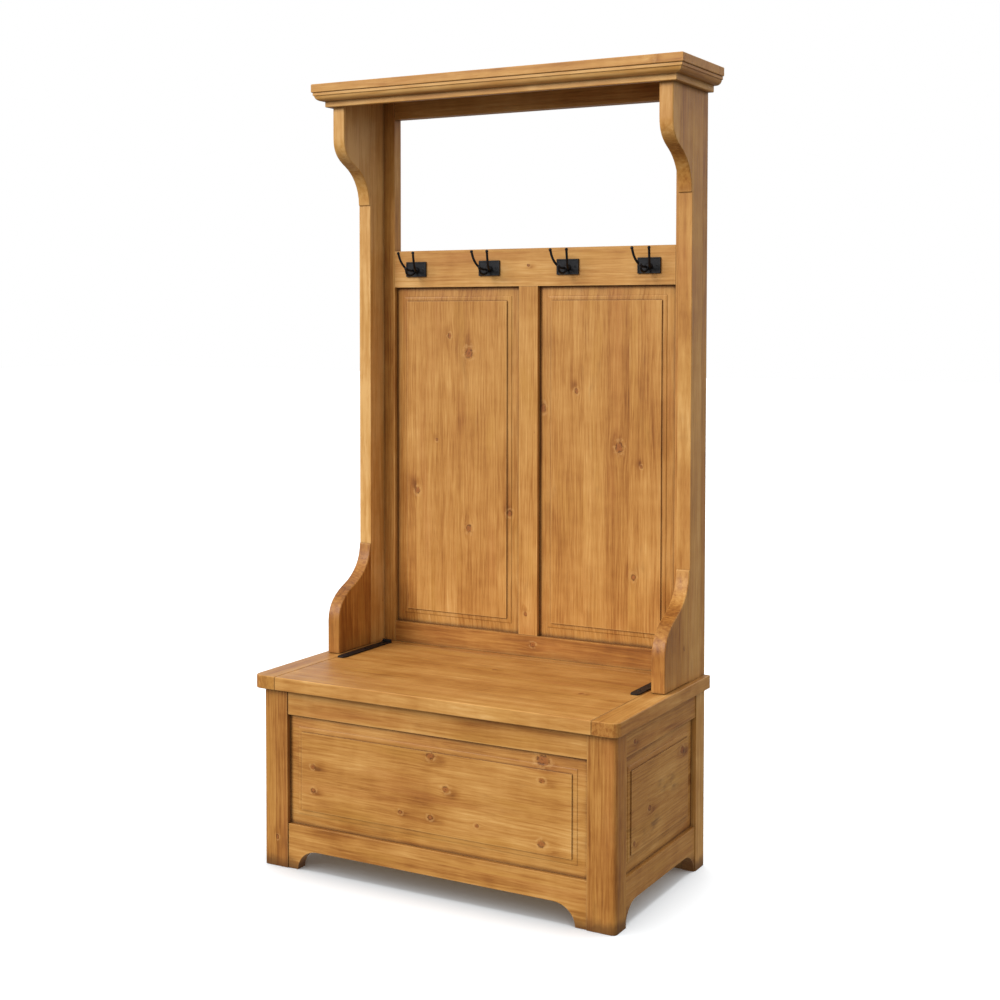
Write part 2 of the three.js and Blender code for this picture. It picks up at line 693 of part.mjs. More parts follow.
const cornice = new THREE.Group();
cornice.position.set(0, 0, CORNICE_LOW);

function cornicePlan() {
  const plan = new THREE.Shape();
  plan.moveTo(-CORNICE_HALF, CORNICE_FRONT);
  plan.lineTo(CORNICE_HALF, CORNICE_FRONT);
  plan.lineTo(CORNICE_HALF, 0);
  plan.lineTo(-CORNICE_HALF, 0);
  plan.closePath();
  return plan;
}

const corniceBoard = easedBoard(cornicePlan(), [0, CORNICE_TOP - CORNICE_LOW]);
place(cornice, 'cornice_board', corniceBoard, waxedPine, [0, 0, 0]);

// Section of the moulding, in (distance in from the edge of the board, height): a fillet, a
// small quirk, a quarter round, a step and a plain lower band with a rounded arris.
function mouldingSection() {
  const top = -GAP;
  const section = new THREE.Shape();
  section.moveTo(MOULD_DEPTH, top);
  section.lineTo(MOULD_DEPTH, -34.5);
  section.lineTo(27.5, -34.5);
  section.quadraticCurveTo(25, -34.5, 25, -32);
  section.lineTo(25, -20);
  section.lineTo(18.5, -20);
  section.quadraticCurveTo(6.5, -18.5, 5.5, -7.5);
  section.lineTo(3, -7.5);
  section.lineTo(3, top);
  section.closePath();
  return section;
}

// Pushes the section from 0 to 1 and maps each vertex, so the ends can be mitred.
function runMoulding(map) {
  const run = push(mouldingSection(), 1, 5);
  const position = run.attributes.position;
  for (let i = 0; i < position.count; i += 1) {
    const [x, y, z] = map(position.getX(i), position.getY(i), position.getZ(i) > 0.5);
    position.setXYZ(i, x, y, z);
  }
  run.computeVertexNormals();
  return run;
}

const MITRE_GAP = 0.2;
const frontMoulding = runMoulding((inset, z, atEnd) => {
  const reach = CORNICE_HALF - inset - MITRE_GAP;
  return [atEnd ? reach : -reach, CORNICE_FRONT + inset, z];
});
place(cornice, 'cornice_moulding_front', frontMoulding, waxedPine, [0, CORNICE_FRONT, 0]);

for (const [name, side] of SIDES) {
  const moulding = runMoulding((inset, z, atEnd) => {
    const atWall = atEnd === (side > 0);
    const y = atWall ? 0 : CORNICE_FRONT + inset + MITRE_GAP;
    return [side * (CORNICE_HALF - inset), y, z];
  });
  const datum = [side * CORNICE_HALF, 0, 0];
  place(cornice, `cornice_moulding_${name}`, moulding, waxedPine, datum);
}

// ---------------------------------------------------------------- coat hooks

const hooks = new THREE.Group();
hooks.position.set(0, FRAME_FRONT - GAP, HOOK_MIDDLE);

const PRONG_RADIUS = 2.9;
const PRONG_SIDES = 8;
const PRONG_STEPS = 12;
const BALL_RADIUS = 4;

function prong(points) {
  const path = new THREE.CatmullRomCurve3(points.map((p) => new THREE.Vector3(...p)));
  const section = new THREE.Shape();
  section.absarc(0, 0, PRONG_RADIUS, 0, 2 * Math.PI);
  const tube = new THREE.ExtrudeGeometry(section, {
    extrudePath: path,
    steps: PRONG_STEPS,
    curveSegments: PRONG_SIDES / 2,
    bevelEnabled: false,
  });
  const end = points[points.length - 1];
  return join(tube, new THREE.SphereGeometry(BALL_RADIUS, 10, 8).translate(...end));
}

// One hook, drawn about the middle of the back of its plate: the plate has a raised rim and
// a boss, two prongs spread and rise to the top of the rail, and a short one curls up below.
function coatHook() {
  const w = HOOK_HALF_WIDTH;
  const h = HOOK_HALF_HEIGHT;
  const RIM = 3;
  const RIM_HIGH = 1.2;
  const plate = block([-w, w], [-HOOK_PLATE, 0], [-h, h]);
  const tray = block(
    [-w + RIM, w - RIM],
    [-HOOK_PLATE - 1, -HOOK_PLATE + RIM_HIGH],
    [-h + RIM, h - RIM],
  );
  const boss = new THREE.SphereGeometry(8, 14, 8).scale(1.25, 0.8, 1).translate(0, -3.5, -2);
  const trimmed = cut(boss, block([-20, 20], [0, 20], [-20, 20]));
  const uppers = [-1, 1].map((side) =>
    prong([
      [side * 3, -5, -3],
      [side * 9, -20, -3],
      [side * 15, -35, 6],
      [side * 19.5, -46, 22],
      [side * 21.5, -52, 39],
    ]),
  );
  const lower = prong([
    [0, -5, -5],
    [0, -20, -14],
    [0, -36, -16],
    [0, -47, -11],
    [0, -51, 0],
  ]);
  return join(cut(plate, tray), trimmed, ...uppers, lower);
}

HOOK_PLACES.forEach((x, i) => {
  const mesh = place(hooks, `coat_hook_${i + 1}`, coatHook(), blackIron, [0, 0, 0]);
  mesh.position.set(x, 0, 0);
});

// ---------------------------------------------------------------- the whole bench

const bench = new THREE.Group();
bench.position.set(0, -SEAT_FRONT / 2, 0);
bench.add(chest, seat, lid, upper, cornice, hooks);
export default bench;
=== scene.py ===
"""Pine hall bench with a storage chest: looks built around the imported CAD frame."""

import json
import math
import random

import bmesh
import bpy
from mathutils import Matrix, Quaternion, Vector


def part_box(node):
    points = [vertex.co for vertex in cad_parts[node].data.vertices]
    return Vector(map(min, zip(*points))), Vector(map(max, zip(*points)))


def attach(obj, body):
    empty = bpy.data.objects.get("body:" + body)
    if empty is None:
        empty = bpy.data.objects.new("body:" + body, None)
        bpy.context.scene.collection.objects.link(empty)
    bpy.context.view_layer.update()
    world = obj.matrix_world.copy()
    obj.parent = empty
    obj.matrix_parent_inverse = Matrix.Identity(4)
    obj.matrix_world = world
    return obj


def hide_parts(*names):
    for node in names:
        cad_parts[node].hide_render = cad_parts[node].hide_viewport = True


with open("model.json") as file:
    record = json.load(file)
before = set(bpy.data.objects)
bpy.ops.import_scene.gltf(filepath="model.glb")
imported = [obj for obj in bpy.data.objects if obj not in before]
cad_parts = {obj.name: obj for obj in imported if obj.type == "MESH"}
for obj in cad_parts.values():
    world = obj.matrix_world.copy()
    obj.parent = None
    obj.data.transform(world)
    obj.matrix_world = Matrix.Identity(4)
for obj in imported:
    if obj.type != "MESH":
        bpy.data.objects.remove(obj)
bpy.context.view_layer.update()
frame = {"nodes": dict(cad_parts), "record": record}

scene = bpy.context.scene
NODES = frame["nodes"]
SLOT_OF = {s["node"]: s["material_slot"] for s in frame["record"]["subparts"]}
BODY_OF = {n: b for b, ns in frame["record"]["behaviour"]["bodies"].items() for n in ns}

# ------------------------------------------------------------------ camera

CAMERA_AT = (1.7866, -3.1323, 1.2711)
CAMERA_TURN = math.radians(29.0)
CAMERA_DROP = math.radians(-2.37)
CAMERA_ROLL = math.radians(-0.07)
LENS = 56.18
SHIFT_X = -0.0011
SHIFT_Y = -0.1135

camera_data = bpy.data.cameras.new("camera")
camera_data.sensor_width = 36.0
camera_data.lens = LENS
camera_data.shift_x = SHIFT_X
camera_data.shift_y = SHIFT_Y
camera = bpy.data.objects.new("camera", camera_data)
camera.location = CAMERA_AT
camera.rotation_euler = (math.pi / 2 + CAMERA_DROP, CAMERA_ROLL, CAMERA_TURN)
scene.collection.objects.link(camera)
scene.camera = camera
scene.view_settings.view_transform = "Standard"

# ------------------------------------------------------------------ light and floor

SKY_LIGHT = 1.0  # from straight above down to the horizon
GROUND_LIGHT = 0.22  # from below
BACKDROP = 1.0
KEY_POWER = 2.5
KEY_SOFTNESS = math.radians(30)
KEY_ELEVATION = math.radians(27)
KEY_AZIMUTH = math.radians(-30)
WASH_POWER = 1.95  # light from overhead that falls on the floor alone
WASH_SOFTNESS = math.radians(30)
HORIZON = 0.35  # rise of the direction over which the sky fades, either way

world = bpy.data.worlds.new("studio")
scene.world = world
world.use_nodes = True
sky = world.node_tree
sky.nodes.clear()
seen = sky.nodes.new("ShaderNodeBackground")
seen.inputs["Color"].default_value = (BACKDROP, BACKDROP, BACKDROP, 1)
seen.inputs["Strength"].default_value = 1.0
lit = sky.nodes.new("ShaderNodeBackground")
lit.inputs["Color"].default_value = (1, 1, 1, 1)
direction = sky.nodes.new("ShaderNodeTexCoord")
upward = sky.nodes.new("ShaderNodeSeparateXYZ")
sky.links.new(direction.outputs["Generated"], upward.inputs[0])
fade = sky.nodes.new("ShaderNodeMapRange")
fade.interpolation_type = "SMOOTHSTEP"
fade.inputs["From Min"].default_value = -HORIZON
fade.inputs["From Max"].default_value = HORIZON
fade.inputs["To Min"].default_value = GROUND_LIGHT
fade.inputs["To Max"].default_value = SKY_LIGHT
sky.links.new(upward.outputs["Z"], fade.inputs["Value"])
sky.links.new(fade.outputs[0], lit.inputs["Strength"])
ray = sky.nodes.new("ShaderNodeLightPath")
either = sky.nodes.new("ShaderNodeMixShader")
out = sky.nodes.new("ShaderNodeOutputWorld")
sky.links.new(ray.outputs["Is Camera Ray"], either.inputs[0])
sky.links.new(lit.outputs[0], either.inputs[1])
sky.links.new(seen.outputs[0], either.inputs[2])
sky.links.new(either.outputs[0], out.inputs["Surface"])


def sun(name, power, softness, direction):
    """A soft distant light that shines along direction."""
    data = bpy.data.lights.new(name, "SUN")
    data.energy = power
    data.angle = softness
    light = bpy.data.objects.new(name, data)
    light.rotation_euler = Vector(direction).to_track_quat("-Z", "Y").to_euler()
    scene.collection.objects.link(light)
    return light


key = sun("key", KEY_POWER, KEY_SOFTNESS, (
    -math.sin(KEY_AZIMUTH) * math.cos(KEY_ELEVATION),
    math.cos(KEY_AZIMUTH) * math.cos(KEY_ELEVATION),
    -math.sin(KEY_ELEVATION),
))
wash = sun("floor_wash", WASH_POWER, WASH_SOFTNESS, (0, 0, -1))

# ------------------------------------------------------------------ node helpers


class Tree:
    """Short calls that add nodes to a node tree."""

    def __init__(self, tree):
        self.tree = tree

    def add(self, kind, inputs=None, **settings):
        node = self.tree.nodes.new("ShaderNode" + kind)
        for name, value in settings.items():
            setattr(node, name, value)
        for name, value in (inputs or {}).items():
            self.feed(node.inputs[name], value)
        return node

    def feed(self, socket, value):
        if isinstance(value, bpy.types.NodeSocket):
            self.tree.links.new(value, socket)
        elif value is not None:
            socket.default_value = value

    def math(self, operation, a, b=None, c=None, clamp=False):
        node = self.add("Math", {0: a, 1: b, 2: c}, operation=operation, use_clamp=clamp)
        return node.outputs[0]

    def vector(self, operation, a, b=None):
        node = self.add("VectorMath", {0: a, 1: b}, operation=operation)
        return node.outputs["Value" if operation in ("LENGTH", "DISTANCE") else "Vector"]

    def split(self, value):
        return self.add("SeparateXYZ", {0: value}).outputs

    def pack(self, x, y, z):
        return self.add("CombineXYZ", {0: x, 1: y, 2: z}).outputs[0]

    def smooth(self, value, low, high, to_low=0.0, to_high=1.0):
        node = self.add(
            "MapRange",
            {"Value": value, "From Min": low, "From Max": high, "To Min": to_low, "To Max": to_high},
            interpolation_type="SMOOTHSTEP",
        )
        return node.outputs[0]

    def mix(self, factor, a, b):
        node = self.add("Mix", data_type="RGBA")
        self.feed(node.inputs[0], factor)
        self.feed(node.inputs[6], a)
        self.feed(node.inputs[7], b)
        return node.outputs[2]

    def noise(self, vector, scale=1.0, detail=2.0, roughness=0.5):
        inputs = {"Vector": vector, "Scale": scale, "Detail": detail, "Roughness": roughness}
        return self.add("TexNoise", inputs).outputs["Fac"]

    def ramp(self, factor, stops):
        node = self.add("ValToRGB", {0: factor})
        elements = node.color_ramp.elements
        for i, (place, colour) in enumerate(stops):
            element = elements[i] if i < 2 else elements.new(place)
            element.position = place
            element.color = (*colour, 1)
        return node.outputs[0]


def new_group(name, inputs, outputs):
    group = bpy.data.node_groups.new(name, "ShaderNodeTree")
    for kind, names in (("INPUT", inputs), ("OUTPUT", outputs)):
        for socket_name, socket_kind in names:
            group.interface.new_socket(socket_name, in_out=kind, socket_type="NodeSocket" + socket_kind)
    start = group.nodes.new("NodeGroupInput")
    end = group.nodes.new("NodeGroupOutput")
    return Tree(group), start.outputs, end.inputs


# ------------------------------------------------------------------ pine
# Every pine material works in the board's own frame: X along the grain, Y across the board
# and Z through it, in metres.

KNOT_FLOW_ALONG = 3.4  # reach of the bent grain round a knot, in knot radii
KNOT_FLOW_ACROSS = 1.9
KNOT_PUSH = 0.70
HALO_ALONG = 3.0  # the dark swirl beside a knot
HALO_ACROSS = 1.6
TAIL_ALONG = -1.7
TAIL_ACROSS = 0.8
KNOT_LENGTH = 0.8  # squeeze along the grain, which makes a knot a little longer than wide
NO_KNOT = 9.0  # a distance at which no knot shows
CELLS_ALONG = 4.2  # cells to a metre for the strewn knots
CELLS_ACROSS = 9.0
BARE = 0.80  # share of the cells without a knot
SMALLEST = 1e-5
LARGEST = 0.0065


def bell(t, along, across, radius, reach_along, reach_across):
    """1 at a knot's middle, falling to 0 a few radii away."""
    a = t.math("DIVIDE", along, t.math("MULTIPLY", radius, reach_along))
    b = t.math("DIVIDE", across, t.math("MULTIPLY", radius, reach_across))
    squared = t.math("MULTIPLY_ADD", a, a, t.math("MULTIPLY", b, b))
    return t.math("EXPONENT", t.math("MULTIPLY", squared, -1.0))


def knot_group():
    """Bends the grain round one knot, and keeps the nearest knot's distance and halo."""
    sockets = [("Point", "Vector"), ("Distance", "Float"), ("Halo", "Float")]
    t, given, result = new_group(
        "knot", sockets + [("Centre", "Vector"), ("Radius", "Float")], sockets
    )
    away = t.split(t.vector("SUBTRACT", given["Point"], given["Centre"]))
    point = t.split(given["Point"])
    flow = bell(t, away[0], away[1], given["Radius"], KNOT_FLOW_ALONG, KNOT_FLOW_ACROSS)
    push = t.math("MULTIPLY", t.math("MULTIPLY", away[1], flow), -KNOT_PUSH)
    bent = t.pack(point[0], t.math("ADD", point[1], push), point[2])
    tail = t.math("MULTIPLY_ADD", given["Radius"], TAIL_ALONG, away[0])
    aside = t.math("MULTIPLY_ADD", given["Radius"], TAIL_ACROSS, away[1])
    halo = bell(t, tail, aside, given["Radius"], HALO_ALONG, HALO_ACROSS)
    flat = t.pack(t.math("MULTIPLY", away[0], KNOT_LENGTH), away[1], 0.0)
    distance = t.math("DIVIDE", t.vector("LENGTH", flat), given["Radius"])
    t.feed(result["Point"], bent)
    t.feed(result["Distance"], t.math("MINIMUM", given["Distance"], distance))
    t.feed(result["Halo"], t.math("MAXIMUM", given["Halo"], halo))
    return t.tree


def scatter_group(knot):
    """Knots strewn over a board: about one cell in five has one."""
    sockets = [("Point", "Vector"), ("Distance", "Float"), ("Halo", "Float")]
    t, given, result = new_group("scattered_knots", sockets[:1], sockets)
    point = t.split(given["Point"])
    cell = t.pack(
        t.math("MULTIPLY", point[0], CELLS_ALONG), t.math("MULTIPLY", point[1], CELLS_ACROSS), 0.0
    )
    voronoi = t.add("TexVoronoi", {"Vector": cell, "Scale": 1.0}, voronoi_dimensions="2D")
    centre = t.split(voronoi.outputs["Position"])
    middle = t.pack(
        t.math("DIVIDE", centre[0], CELLS_ALONG), t.math("DIVIDE", centre[1], CELLS_ACROSS), point[2]
    )
    chance = t.split(voronoi.outputs["Color"])[0]
    size = t.add(
        "MapRange",
        {"Value": chance, "From Min": BARE, "From Max": 1.0, "To Min": SMALLEST, "To Max": LARGEST},
    ).outputs[0]
    bend = t.add("Group", node_tree=knot)
    t.feed(bend.inputs["Point"], given["Point"])
    t.feed(bend.inputs["Distance"], NO_KNOT)
    t.feed(bend.inputs["Centre"], middle)
    t.feed(bend.inputs["Radius"], size)
    for name, _ in sockets:
        t.feed(result[name], bend.outputs[name])
    return t.tree


TONES = (
    (0.00, (0.160, 0.050, 0.008)),
    (0.25, (0.300, 0.113, 0.020)),
    (0.50, (0.425, 0.190, 0.041)),
    (0.75, (0.530, 0.268, 0.072)),
    (1.00, (0.650, 0.375, 0.130)),
)
GOLDEN = (0.470, 0.232, 0.044, 1)
REDDISH = (0.400, 0.150, 0.036, 1)
KNOT_RIM = (0.090, 0.028, 0.008, 1)
KNOT_HEART = (0.330, 0.108, 0.024, 1)
KNOT_RING = (0.570, 0.310, 0.105, 1)
# Colour of the stains and of the painted shade in recesses.
SMUDGE_AND_SHADE = (0.130, 0.054, 0.018, 1)
# Colour of the dark old wax and of the painted shade in corners and at the foot.
OLD_WAX_AND_SHADE = (0.060, 0.022, 0.007, 1)
BARE_PINE = (0.60, 0.42, 0.22, 1)

MIDDLE_TONE = 0.565
LATE_WOOD_TONE = 0.13  # how far each layer moves the tone
LAYER_TONES = {"streak": 0.66, "broad": 0.46, "fibre": 0.90, "blotch": 0.78, "ripple": 0.24}
BOARD_TONE = 0.10
PORE_TONE = -0.13
END_GRAIN_TONE = -0.16
HALO_TONE = -0.50
RING_PITCH = 0.0052  # least width of a year's growth, and how much it varies
RING_VARIETY = 0.0030
RING_SWAY = 0.034
LOG_DEPTH = 0.022  # least depth of the log's heart below the board, and how much it varies
LOG_VARIETY = 0.07


def growth_rings(t, point, middle, lot_shift, chance):
    """Late wood of the rings about the heart of the log, wavy along it."""
    across = t.math("SUBTRACT", point[1], middle)
    across = t.math("ADD", across, t.math("MULTIPLY_ADD", chance[0], 0.10, -0.05))
    through = t.math("ADD", point[2], t.math("MULTIPLY_ADD", chance[1], LOG_VARIETY, LOG_DEPTH))
    wavy = t.pack(
        t.math("MULTIPLY_ADD", point[0], 1.5, lot_shift),
        t.math("MULTIPLY", point[1], 7.0),
        t.math("MULTIPLY", point[2], 7.0),
    )
    sway = t.math("MULTIPLY", t.math("SUBTRACT", t.noise(wavy, detail=2.5), 0.5), RING_SWAY)
    radius = t.math("ADD", t.vector("LENGTH", t.pack(across, through, 0.0)), sway)
    pitch = t.math("MULTIPLY_ADD", chance[2], RING_VARIETY, RING_PITCH)
    phase = t.math("FRACT", t.math("DIVIDE", radius, pitch))
    return t.math(
        "MULTIPLY", t.smooth(phase, 0.25, 0.82), t.smooth(phase, 0.84, 1.0, 1.0, 0.0)
    )


def add_knots(t, given, colour):
    """Knots: a dark uneven heart, a thin broken rim and a pale ring of close grain."""
    wobble = t.noise(given["Straight"], scale=260.0, detail=3.0)
    ragged = t.noise(given["Straight"], scale=95.0, detail=2.0)
    near = t.math("ADD", given["Distance"], t.math("MULTIPLY_ADD", wobble, 0.9, -0.45))
    near = t.math("ADD", near, t.math("MULTIPLY_ADD", ragged, 0.7, -0.35))
    inside = t.smooth(near, 0.50, 0.82, 1.0, 0.0)
    core = t.smooth(near, -0.10, 0.30, 0.55, 0.0)
    rim = t.math("SUBTRACT", t.smooth(near, 0.50, 0.72), t.smooth(near, 0.80, 1.05))
    rim = t.math("MULTIPLY", rim, t.smooth(ragged, 0.40, 0.56))
    pale = t.math("SUBTRACT", t.smooth(near, 0.85, 1.10), t.smooth(near, 1.15, 1.9))
    pale = t.math("MULTIPLY", pale, t.smooth(ragged, 0.62, 0.40))
    rings = t.math("SINE", t.math("MULTIPLY", near, 17.0))
    darkness = t.math("MULTIPLY_ADD", rings, 0.14, t.math("ADD", core, 0.14))
    heart = t.mix(darkness, KNOT_HEART, KNOT_RIM)
    colour = t.mix(t.math("MULTIPLY", pale, 0.45), colour, KNOT_RING)
    colour = t.mix(t.math("MULTIPLY", inside, 0.85), colour, heart)
    return t.mix(t.math("MULTIPLY", rim, 0.80), colour, KNOT_RIM), rim


def add_wear_and_shade(t, given, colour, patches):
    """Dark old wax in corners and joints with painted shade there, dirt with painted shade about them,
    arrises worn paler with a painted highlight, and dirt with painted shade at the foot.
    """
    # Painted shade: corners and joints darkened by how closely they are hemmed in, as dark old wax and
    # shade together.
    corner = t.add("AmbientOcclusion", {"Distance": 0.012}, samples=6).outputs["AO"]
    wax_and_shade = t.smooth(corner, 0.50, 0.93, 1.0, 0.0)
    wax_and_shade = t.math("MULTIPLY", t.math("MULTIPLY", wax_and_shade, given["Wax"]), given["Crease"])
    # Painted shade: a wider darkening in recesses, broken into patches, as dirt and shade together.
    nook = t.add("AmbientOcclusion", {"Distance": 0.050}, samples=4).outputs["AO"]
    grime_and_shade = t.math("MULTIPLY", t.smooth(nook, 0.60, 0.97, 1.0, 0.0), given["Crease"])
    grime_and_shade = t.math("MULTIPLY", grime_and_shade, t.smooth(patches, -0.10, 0.14))
    colour = t.mix(t.math("MULTIPLY", grime_and_shade, 0.42), colour, SMUDGE_AND_SHADE)
    # Painted highlight: convex arrises made paler, as worn wax and highlight together.
    arris = t.add("AmbientOcclusion", {"Distance": 0.004}, samples=4, inside=True).outputs["AO"]
    rubbed_and_highlight = t.math("MULTIPLY", t.smooth(arris, 0.45, 0.9, 1.0, 0.0), given["Wax"])
    colour = t.mix(t.math("MULTIPLY", rubbed_and_highlight, 0.34), colour, (*TONES[4][1], 1))
    colour = t.mix(wax_and_shade, colour, OLD_WAX_AND_SHADE)
    # Painted shade: darker towards the floor at the foot, as dirt and shade together.
    return t.mix(given["Foot"], colour, OLD_WAX_AND_SHADE), wax_and_shade


def pine_group():
    """Colour, roughness and height of waxed pine at a point of a board."""
    t, given, result = new_group(
        "pine",
        [
            ("Straight", "Vector"),
            ("Point", "Vector"),
            ("Distance", "Float"),
            ("Halo", "Float"),
            ("End", "Float"),
            ("Board", "Float"),
            ("Seed", "Float"),
            ("Wax", "Float"),
            ("Tone", "Float"),
            ("Crease", "Float"),
            ("Smudge", "Float"),
            ("Foot", "Float"),
        ],
        [("Color", "Color"), ("Roughness", "Float"), ("Height", "Float")],
    )
    straight = t.split(given["Straight"])
    bent = t.split(given["Point"])
    point = (bent[0], bent[1], t.math("MULTIPLY", bent[2], 0.4))

    # Glued-up boards, each cut from its own place in the log.
    place = t.math("ADD", t.math("DIVIDE", straight[1], given["Board"]), given["Seed"])
    index = t.math("FLOOR", place)
    lot = t.math("MULTIPLY_ADD", given["Seed"], 17.0, index)
    chance = t.split(t.add("TexWhiteNoise", {"W": lot}, noise_dimensions="1D").outputs["Color"])
    middle = t.math("ADD", t.math("SUBTRACT", index, given["Seed"]), 0.5)
    middle = t.math("MULTIPLY", middle, given["Board"])
    shift = t.math("MULTIPLY", lot, 3.7)
    late = growth_rings(t, point, middle, shift, chance)

    def stretched(along, crosswise, detail, roughness=0.5):
        vector = t.pack(
            t.math("MULTIPLY_ADD", point[0], along, shift),
            t.math("MULTIPLY", point[1], crosswise),
            t.math("MULTIPLY", point[2], crosswise),
        )
        return t.math("SUBTRACT", t.noise(vector, detail=detail, roughness=roughness), 0.5)

    layers = {
        "streak": stretched(1.3, 42.0, 4.0, 0.6),
        "broad": stretched(0.9, 9.0, 2.0),
        "fibre": stretched(11.0, 260.0, 4.0, 0.65),
        "blotch": stretched(5.0, 6.0, 3.0),
        "ripple": stretched(26.0, 11.0, 2.0),
    }
    pore = t.smooth(stretched(34.0, 900.0, 1.0), 0.13, 0.24)
    tint = stretched(3.1, 17.0, 2.0)
    smudge = t.smooth(stretched(4.2, 13.0, 4.0, 0.7), 0.07, 0.24)
    bold = t.smooth(stretched(2.0, 14.0, 1.0), -0.2, 0.25, 0.35, 1.0)

    tone = t.math("ADD", MIDDLE_TONE, given["Tone"])
    ringed = t.math("MULTIPLY", t.math("MULTIPLY", late, bold), LATE_WOOD_TONE)
    tone = t.math("SUBTRACT", tone, ringed)
    for name, layer in layers.items():
        tone = t.math("MULTIPLY_ADD", layer, LAYER_TONES[name], tone)
    tone = t.math("MULTIPLY_ADD", t.math("SUBTRACT", chance[1], 0.5), BOARD_TONE, tone)
    tone = t.math("MULTIPLY_ADD", pore, PORE_TONE, tone)
    tone = t.math("MULTIPLY_ADD", given["End"], END_GRAIN_TONE, tone)

    swirl = t.smooth(stretched(13.0, 34.0, 3.0, 0.6), -0.12, 0.16, 0.25, 1.0)
    tone = t.math("MULTIPLY_ADD", t.math("MULTIPLY", given["Halo"], swirl), HALO_TONE, tone)
    tone = t.math("MAXIMUM", t.math("MINIMUM", tone, 0.99), 0.01)
    colour = t.ramp(tone, TONES)
    colour = t.mix(t.smooth(tint, 0.02, 0.30, 0.0, 0.55), colour, GOLDEN)
    colour = t.mix(t.smooth(tint, -0.02, -0.30, 0.0, 0.45), colour, REDDISH)
    colour = t.mix(t.math("MULTIPLY", smudge, given["Smudge"]), colour, SMUDGE_AND_SHADE)

    colour, rim = add_knots(t, given, colour)
    colour, wax_and_shade = add_wear_and_shade(t, given, colour, stretched(9.0, 24.0, 3.0))
    bare = t.math("MULTIPLY", t.math("SUBTRACT", 1.0, given["Wax"]), 0.46)
    colour = t.mix(bare, colour, BARE_PINE)

    rough = t.math("MULTIPLY_ADD", layers["blotch"], 0.22, 0.47)
    rough = t.math("MULTIPLY_ADD", late, -0.06, rough)
    rough = t.math("MULTIPLY_ADD", bare, 0.5, rough)
    rough = t.math("MULTIPLY_ADD", wax_and_shade, 0.2, rough)
    height = t.math("MULTIPLY", layers["fibre"], 0.55)
    height = t.math("MULTIPLY_ADD", late, 0.30, height)
    height = t.math("MULTIPLY_ADD", pore, -0.35, height)
    height = t.math("MULTIPLY_ADD", rim, -0.5, height)
    t.feed(result["Color"], colour)
    t.feed(result["Roughness"], rough)
    t.feed(result["Height"], height)
    return t.tree


KNOT = knot_group()
SCATTER = scatter_group(KNOT)
PINE = pine_group()

# Larger knots of the show boards, placed to the nearest twentieth of the board: the share of its length
# and of its width, from its middle, and the knot's radius in metres.
SHOW_KNOTS = {
    "front_panel": (
        (0.35, 0.40, 0.013), (0.00, 0.30, 0.009), (0.05, 0.05, 0.008), (0.00, -0.20, 0.006),
        (0.35, -0.25, 0.009), (0.35, 0.25, 0.007), (0.15, -0.20, 0.005), (-0.10, -0.20, 0.005),
        (-0.40, 0.05, 0.006), (-0.40, -0.15, 0.006),
    ),
    "back_panel_left": (
        (0.30, 0.10, 0.012), (0.35, -0.05, 0.006), (-0.10, -0.30, 0.008), (-0.20, 0.10, 0.009),
        (-0.15, 0.40, 0.007), (0.05, -0.15, 0.004),
    ),
    "back_panel_right": (
        (0.05, 0.10, 0.011), (0.00, 0.25, 0.004), (0.20, -0.20, 0.006), (0.15, -0.45, 0.010),
        (-0.30, 0.20, 0.007),
    ),
    "right_panel": ((0.30, 0.25, 0.009), (-0.15, -0.05, 0.007), (-0.35, -0.25, 0.006)),
    "lid_board": ((0.00, 0.20, 0.005), (0.35, -0.05, 0.006)),
    "hook_rail": ((0.00, 0.05, 0.004),),
}

BOARD_WIDTH = {"lid_board": 0.150, "cornice_board": 0.140}
DEFAULT_BOARD = 0.118
TONE = {"waxed_pine": 0.0, "panel_pine": 0.0, "raw_pine": 0.1}
# Boards lighter or darker than the rest: partly their own tone, partly painted light and shade for how
# light falls on them, as side_post_left and cornice_moulding_front painted lighter, back_lower_rail and
# right_panel painted darker.
OWN_TONE_AND_LIGHT = {
    "back_lower_rail": -0.32,
    "leg_front_left": -0.13,
    "leg_front_right": -0.15,
    "leg_back_right": 0.20,
    "side_post_left": 0.32,
    "side_post_right": 0.10,
    "bracket_left": 0.32,
    "bracket_right": 0.14,
    "right_panel": -0.05,
    "right_bottom_rail": -0.06,
    "front_top_rail": -0.05,
    "front_bottom_rail": -0.08,
    "wing_left": -0.22,
    "wing_right": -0.08,
    "hook_rail": 0.10,
    "back_muntin": 0.10,
    "lid_board": 0.06,
    "cornice_moulding_front": 0.30,
    "cornice_board": 0.12,
}
CREASE = {"panel_pine": 0.80}  # old wax and painted shade in the corners
DEFAULT_CREASE = 0.34
SMUDGES = {"right_panel": 0.75}
DEFAULT_SMUDGES = 0.24
BOTTOM_SIDE_RAILS = ("left_bottom_rail", "right_bottom_rail")
DIRT_AND_SHADE_TOP = 0.022  # where the dirt and painted shade at the foot end, above the floor
# The side rails take a taller band of it: painted shade beneath them.
SIDE_DIRT_AND_SHADE_TOP = 0.050


def board_axes(size):
    """Grain, width and thickness directions of a board, as indices of X, Y and Z."""
    return sorted(range(3), key=lambda i: -size[i])


